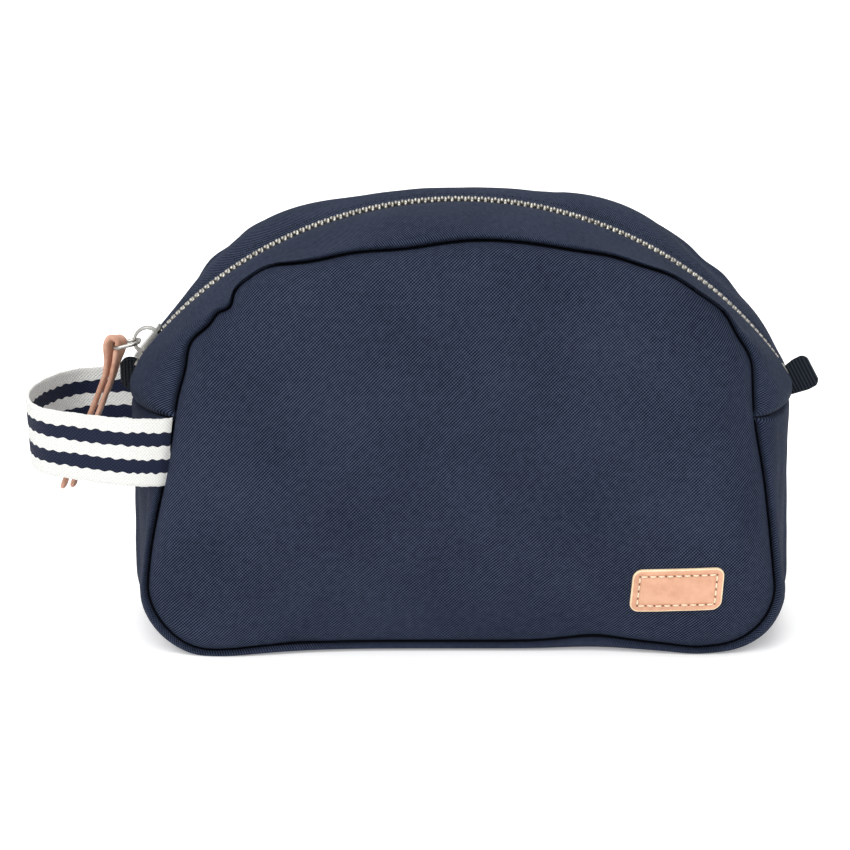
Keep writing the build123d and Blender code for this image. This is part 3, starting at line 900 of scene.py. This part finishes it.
def tooth_row(name, side, offset):
    """All the teeth of one side of the zip."""
    form, form_faces = tooth_form()
    step = np.degrees(tooth_pitch / chain_r)
    count = int((chain_end - chain_start) / step)
    points, faces = [], []
    for k in range(count):
        spot, along, out = frame_at(chain_start + (k + offset) * step, chain_r)
        first = len(points)
        for x, y, z in form:
            points.append(spot + (along * x + out * z) * MM + Vector((0, -side * y, 0)) * MM)
        faces += [tuple(first + i for i in (f if side < 0 else f[::-1])) for f in form_faces]
    return mesh_object(name, points, faces, finish=[tooth_metal])


front_teeth = tooth_row("front_teeth", -1, 0.0)
back_teeth = tooth_row("back_teeth", 1, 0.5)


# ---- ribbons: strap, lace and tabs -----------------------------------------------------
def spline(points, count):
    """Quadratic B-spline through the middles of the control polygon's sides."""
    p = np.array([points[0], *points, points[-1]], float)
    t = np.linspace(0, len(points), count)
    k = np.minimum(t.astype(int), len(points) - 1)
    u = (t - k)[:, None]
    a, b, c = p[k], p[k + 1], p[k + 2]
    return 0.5 * ((1 - u) ** 2 * a + (1 + 2 * u - 2 * u * u) * b + u * u * c)


def ribbon(name, path, side, thick, width, finish, round_edge=0.3, shape=None):
    """Flat band of given width and thickness along path; side is its width direction per point."""
    path, side = np.asarray(path, float), np.asarray(side, float)
    step = np.gradient(path, axis=0)
    step /= np.linalg.norm(step, axis=1)[:, None]
    side = side - (side * step).sum(1)[:, None] * step
    side /= np.linalg.norm(side, axis=1)[:, None]
    face = np.cross(step, side)
    along = np.concatenate([[0], np.cumsum(np.linalg.norm(np.diff(path, axis=0), axis=1))])
    half_w, half_t, r = width / 2, thick / 2, min(round_edge, thick / 2 - 0.01)
    inner = np.linspace(-half_w + r, half_w - r, max(5, int(width / 1.2)))
    section = [(w, half_t) for w in inner] + [(half_w, half_t - r), (half_w, r - half_t)]
    section += [(w, -half_t) for w in inner[::-1]] + [(-half_w, r - half_t), (-half_w, half_t - r)]
    section = np.array(section)
    points, uvs = [], []
    for k, spot in enumerate(path):
        w, t = section.T
        if shape is not None:
            w, t = shape(along[k], along[-1], w, t)
        points.append(spot + side[k] * w[:, None] + face[k] * t[:, None])
        uvs.append(np.stack([np.full(len(w), along[k]), w + half_w], 1))
    faces = tube_faces(len(path), len(section), flip=True)
    return mesh_object(name, np.concatenate(points) * MM, faces, np.concatenate(uvs) * MM, [finish])


strap_low, strap_high = (v[2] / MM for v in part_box("strap_loop"))
strap_middle = (strap_low + strap_high) / 2
strap_side = 41.25
strap_end, strap_leaves = -103, -124     # where its ends stop, and where it leaves the panels
strap_plan = [(strap_end, -strap_side), (strap_leaves, -strap_side), (-142, -33), (-162.5, -22),
              (-167.8, 8), (-156, 38), (-136, 41.4), (strap_leaves, strap_side),
              (strap_end, strap_side)]
plan = spline(strap_plan, 170)
sag = 0.5 * np.sin(np.linspace(0, pi, len(plan)))
strap_path = np.stack([plan[:, 0], plan[:, 1], strap_middle - sag], 1)
# The band leans outwards a little round its free end.
twist = 0.05 * np.sin(np.linspace(0, pi, len(plan)))
centre = np.array([-136.0, 0.0])
lean = plan - centre
lean /= np.hypot(*lean.T)[:, None]
strap_up = np.stack([lean[:, 0] * twist, lean[:, 1] * twist, np.ones(len(plan))], 1)
strap = ribbon(
    "strap_band", strap_path, strap_up, 1.5, strap_high - strap_low, strap_cloth,
    shape=lambda s, total, w, t: (w * (1 + 0.006 * sin(s * 1.9) + 0.007 * sin(s * 0.61)), t),
)


def trim_to_seam(piece):
    """Slides the strap's ends along to the slanting seam that holds them."""
    points = coordinates(piece)
    slope = (SEAM["left_top"][0] + SEAM["wide"]) / (SEAM["left_top"][1] - base_lift - corner_height)
    end = -SEAM["wide"] + (points[:, 2] / MM - base_lift - corner_height) * slope + groove
    share = np.clip((points[:, 0] / MM - strap_leaves) / (strap_end - strap_leaves), 0, 1)
    points[:, 0] += (end - strap_end) * share * MM
    tucked_in = 1.7
    tuck = np.clip(1 - (end - points[:, 0] / MM) / 4, 0, 1) ** 2
    points[:, 1] -= np.sign(points[:, 1]) * tucked_in * tuck * MM
    set_coordinates(piece, points)


trim_to_seam(strap)

# The lace is doubled over the ring; its own directions follow its CAD solid.
lace_lean, lace_turn = radians(20.0), radians(-10.0)
lace_hinge = np.array([-132.781, 0.0, 108.966])
lace_up = np.array([sin(lace_lean), 0, cos(lace_lean)])
lace_out = np.array([cos(lace_lean), 0, -sin(lace_lean)]) * cos(lace_turn)
lace_out[1] = sin(lace_turn)
lace_across = np.cross(lace_up, lace_out)
lace_plan = [(-2.0, -60.5), (-1.7, -42), (-1.5, -26), (-1.3, -12), (-1.6, -4.5), (-2.3, 0.3),
             (-1.9, 2.8), (0, 3.6), (1.9, 2.8), (2.3, 0.3), (1.6, -4.5), (1.3, -12),
             (1.3, -26), (1.2, -42), (1.5, -58.5)]
route = spline(lace_plan, 120)
# It hangs in as far as it can without touching the zip when the slider carries it over the top.
droop = np.interp(-route[:, 1], [0, 6, 12, 26, 40, 61], [0, 1.1, 1.8, 1.4, 0.5, 1.0])
lace_path = lace_hinge + route[:, :1] * lace_out + route[:, 1:] * lace_up
lace_path[:, 0] += droop


def lace_shape(s, total, w, t):
    """The lace is largest at its fold over the ring, and its tips are nipped round."""
    from_tip = min(s, total - s)
    size = 1.0 + 0.4 * near(from_tip, 63, 8)
    tip = 1 - 0.35 * max(0.0, 1 - from_tip / 1.6) ** 2
    return w * size * tip, t * size * (1 + 0.06 * sin(s * 0.9)) * tip


# The band twists a little towards its head.
lace_twist = radians(24) * near(route[:, 1:], 1, 10)
lace_side = lace_across * np.cos(lace_twist) + lace_out * np.sin(lace_twist)
lace = ribbon("lace_pull", lace_path, lace_side, 1.65, 4.6,
              lace_leather, round_edge=0.45, shape=lace_shape)


def tab(name, root, reach, out_angle, turn, width, rounding):
    """Folded webbing tab out of the cross seam, its edges swung by turn degrees."""
    a, b = radians(out_angle), radians(turn)
    out = np.array([cos(a), 0, sin(a)])
    across = np.array([0, 1.0, 0]) * cos(b) + np.cross(out, [0, 1.0, 0]) * sin(b)
    face = np.cross(across, out)
    wall, gap = 1.1, 0.62
    plan = [(-3.0, -gap), (reach * 0.5, -gap - 0.15), (reach - 0.4, -gap), (reach + 1.1, 0),
            (reach - 0.4, gap), (reach * 0.5, gap + 0.15), (-3.0, gap)]
    line = spline(plan, 46)
    path = np.array(root) + line[:, :1] * out + line[:, 1:] * face

    def pinched(s, total, w, t):
        """Gathered where it is sewn in, with rounded corners at its fold."""
        from_root = min(s, total - s)
        share = max(0.0, 1 - abs(s - total / 2) / rounding)
        corner = rounding * (1 - (1 - share ** 2) ** 0.5)
        return w * (0.76 + 0.24 * min(1, from_root / 8) - 2 * corner / width), t

    sides = np.tile(across, (len(line), 1))
    return ribbon(name, path, sides, wall, width, tab_cloth, shape=pinched)


left_tab = tab("left_webbing_tab", (-126.3, 7.8, 96.6), 4.2, 178, 65, 17.0, 5.2)
right_tab = tab("right_webbing_tab", (125.0, 0, 95.6), 9.2, 28, 72, 13.0, 2.4)


# ---- leather patch and stitches --------------------------------------------------------
def surface_of(piece):
    """Search tree over the finished surface of a piece."""
    shown = piece.evaluated_get(bpy.context.evaluated_depsgraph_get()).data
    faces = [tuple(p.vertices) for p in shown.polygons]
    return BVHTree.FromPolygons([v.co.copy() for v in shown.vertices], faces)


front_surface = surface_of(front_panel)
patch_low, patch_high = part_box("leather_patch")
patch_middle = (np.array(patch_low) + np.array(patch_high))[[0, 2]] / 2 / MM
patch_half = np.array([17.0, 9.0])
patch_tilt = radians(1.5)
patch_shear = 2.2          # its short sides lean this much more than its long sides
patch_taper = 0.042        # its lower right corner hangs lower, per millimetre along
patch_wall = 1.3
stitch_inset = 2.7
stitches_along, stitches_up = 9, 4


def on_patch(x, z, proud):
    """Point over the front panel at patch coordinates, standing proud of the fabric, metres."""
    px = patch_middle[0] + x * cos(patch_tilt) + z * sin(patch_tilt) * patch_shear
    taper = patch_taper * (x + patch_half[0]) * (patch_half[1] - z) / (2 * patch_half[1])
    pz = patch_middle[1] + 0.3 + x * sin(patch_tilt) + z * cos(patch_tilt) + taper
    hit = front_surface.ray_cast(Vector((px * MM, -0.2, pz * MM)), Vector((0, 1, 0)))[0]
    y = hit.y if hit else -0.05
    return Vector((px * MM, y - proud * MM, pz * MM))


def rounded_box(half, corner, count=10):
    """Closed rounded rectangle, counter-clockwise, with three points along each side."""
    arcs = []
    for sx, sz, start in ((1, -1, -90), (1, 1, 0), (-1, 1, 90), (-1, -1, 180)):
        turn = np.radians(start + 90 * np.arange(count + 1) / count)
        centre = np.array([sx, sz]) * (half - corner)
        arcs.append(centre + corner * np.stack([np.cos(turn), np.sin(turn)], 1))
    sides = [a[-1] + (b[0] - a[-1]) * np.array([[0.25], [0.5], [0.75]])
             for a, b in zip(arcs, arcs[1:] + arcs[:1])]
    return np.concatenate([part for pair in zip(arcs, sides) for part in pair])


def patch_piece():
    """Leather patch that follows the panel, pressed in along its stitching."""
    # Each layer is a ring: millimetres in from the edge, and out from the fabric.
    layers = [(0.0, 0.0), (0.0, 0.45), (0.0, 0.95), (0.15, 1.2), (0.5, 1.3), (1.1, 1.3),
              (1.7, 1.25), (2.3, 1.1), (2.7, 1.05), (3.1, 1.12), (3.7, 1.28), (4.8, 1.31)]
    points, uvs = [], []
    for inset, proud in layers:
        rim = rounded_box(patch_half - inset, max(3.6 - inset, 0.25))
        for x, z in rim:
            points.append(on_patch(x, z, proud))
            uvs.append((x * MM, z * MM))
    count = len(rim)
    faces = [tuple(q) for q in grid_faces(len(layers), count, wrap=True)]
    # The last ring is closed by quads between its lower and upper halves.
    last, half, hinge = len(points) - count, count // 2, 12
    low = [last + (hinge - k) % count for k in range(half)]
    high = [last + (hinge + k) % count for k in range(half + 1)]
    faces.append((low[0], high[1], low[1]))
    faces += [(low[k], high[k], high[k + 1], low[k + 1]) for k in range(1, half - 1)]
    faces.append((low[half - 1], high[half - 1], high[half]))
    piece = mesh_object("patch_leather", points, faces, uvs, [tan, tan_edge])
    paint(piece, lambda k, corners: k < count * 4)
    return subdivide(piece)


patch = patch_piece()


def stitch_mesh(name, places, length, width, finish):
    """Short threads: each place is its middle, direction along and direction out, metres."""
    points, faces = [], []
    ring = 8
    profile = [(-0.5, 0.25, -0.5), (-0.42, 0.7, 0.1), (-0.2, 1.0, 0.55), (0.2, 1.0, 0.55),
               (0.42, 0.7, 0.1), (0.5, 0.25, -0.5)]
    for middle, along, out in places:
        across = along.cross(out).normalized()
        first = len(points)
        for share, size, rise in profile:
            for k in range(ring):
                a = tau * k / ring
                points.append(middle + (along * share * length + out * rise * width / 2
                                        + across * cos(a) * width / 2 * size
                                        + out * sin(a) * width / 2 * size) * MM)
        faces += [tuple(first + i for i in f) for f in tube_faces(len(profile), ring)]
    piece = mesh_object(name, points, faces, finish=[finish])
    piece.data.flip_normals()
    return piece


def patch_places(steps_along, steps_up, proud, follow):
    """Places on the running stitch's rectangle, at steps counted in stitches."""
    x, z = patch_half - stitch_inset
    spots = [(-x + 2 * x * k / stitches_along, side * z, True)
             for k in steps_along for side in (-1, 1)]
    spots += [(side * x, -z + 2 * z * k / stitches_up, False) for k in steps_up for side in (-1, 1)]
    made = []
    for px, pz, level in spots:
        middle = on_patch(px, pz, proud)
        along = Vector((1, 0, 0) if level else (0, 0, 1))
        if follow:
            along = (on_patch(px + along.x / 2, pz + along.z / 2, proud) - middle).normalized()
        made.append((middle, along, Vector((0, -1, 0))))
    return made


stitch_places = patch_places(
    np.arange(stitches_along) + 0.5, np.arange(stitches_up) + 0.5, patch_wall - 0.1, True
)
patch_thread = stitch_mesh("patch_thread", stitch_places, 2.3, 0.7, cream_thread)

# The needle holes lie at the gaps between the stitches, drawn as dark brown dots that paint the
# holes' shade.
hole_places = patch_places(
    range(stitches_along + 1), range(1, stitches_up), patch_wall - 0.2, False
)
patch_holes = stitch_mesh("patch_needle_holes", hole_places, 0.75, 0.62, hole_shade)


def strip_stitch_places(strip, side):
    """Topstitching that holds a strip's folded edge to the zip tape."""
    surface = surface_of(strip)
    places = []
    spacing, from_zip = 3.1, 8.7
    turn = np.degrees(spacing / zip_r)
    for k in range(int(104 / turn)):
        spot, along, out = frame_at(-50.5 + k * turn, zip_r + 8)
        spot.y = side * from_zip * MM
        hit = surface.ray_cast(spot, -out)[0]
        if hit:
            places.append((hit - out * 0.1 * MM, along, out))
    return places


front_topstitch = stitch_mesh(
    "front_topstitch", strip_stitch_places(front_strip, -1), 2.3, 0.4, navy_thread
)
back_topstitch = stitch_mesh(
    "back_topstitch", strip_stitch_places(back_strip, 1), 2.3, 0.4, navy_thread
)


# ---- metal and tape: CAD nodes keep their shape ----------------------------------------
def coat(node, material, edge=0.0):
    """Gives a CAD node its material and softens its edges by edge millimetres."""
    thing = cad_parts[node]
    thing.data.materials.clear()
    thing.data.materials.append(material)
    if edge:
        bevel = thing.modifiers.new("soft_edge", "BEVEL")
        bevel.width = edge * MM
        bevel.segments = 3
        bevel.limit_method = "ANGLE"
        bevel.angle_limit = radians(40)


coat("front_zip_tape", tape_cloth)
coat("back_zip_tape", tape_cloth)
coat("slider_body", nickel, 0.35)
coat("slider_bridge", nickel, 0.25)
coat("pull_ring", nickel)
coat("zip_top_stops", tooth_metal, 0.3)
coat("zip_bottom_stop", tooth_metal, 0.25)

# ---- what each piece rides on and stands for -------------------------------------------
stand_ins = [
    (gusset, "navy_fabric", ["lower_gusset"]),
    (front_strip, "navy_fabric", ["front_zip_strip"]),
    (back_strip, "navy_fabric", ["back_zip_strip"]),
    (front_panel, "navy_fabric", ["front_panel"]),
    (back_panel, "navy_fabric", ["back_panel"]),
    (lining, "lining", ["gusset_lining", "front_strip_lining", "back_strip_lining",
                        "front_lining", "back_lining"]),
    (front_binding, "binding", ["front_seam_binding"]),
    (back_binding, "binding", ["back_seam_binding"]),
    (front_teeth, "zip_metal", ["front_zip_teeth"]),
    (back_teeth, "zip_metal", ["back_zip_teeth"]),
    (strap, "striped_webbing", ["strap_loop"]),
    (left_tab, "tab_webbing", ["left_end_tab"]),
    (right_tab, "tab_webbing", ["right_end_tab"]),
    (patch, "leather", ["leather_patch"]),
    (patch_thread, "thread", ["patch_stitches"]),
    (patch_holes, "leather", []),
    (front_topstitch, "thread", []),
    (back_topstitch, "thread", []),
    (lace, "leather", ["leather_pull"]),
]
for piece, slot, nodes in stand_ins:
    body = "pull" if piece is lace else "bag"
    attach(piece, body)
    if nodes:
        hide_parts(*nodes)
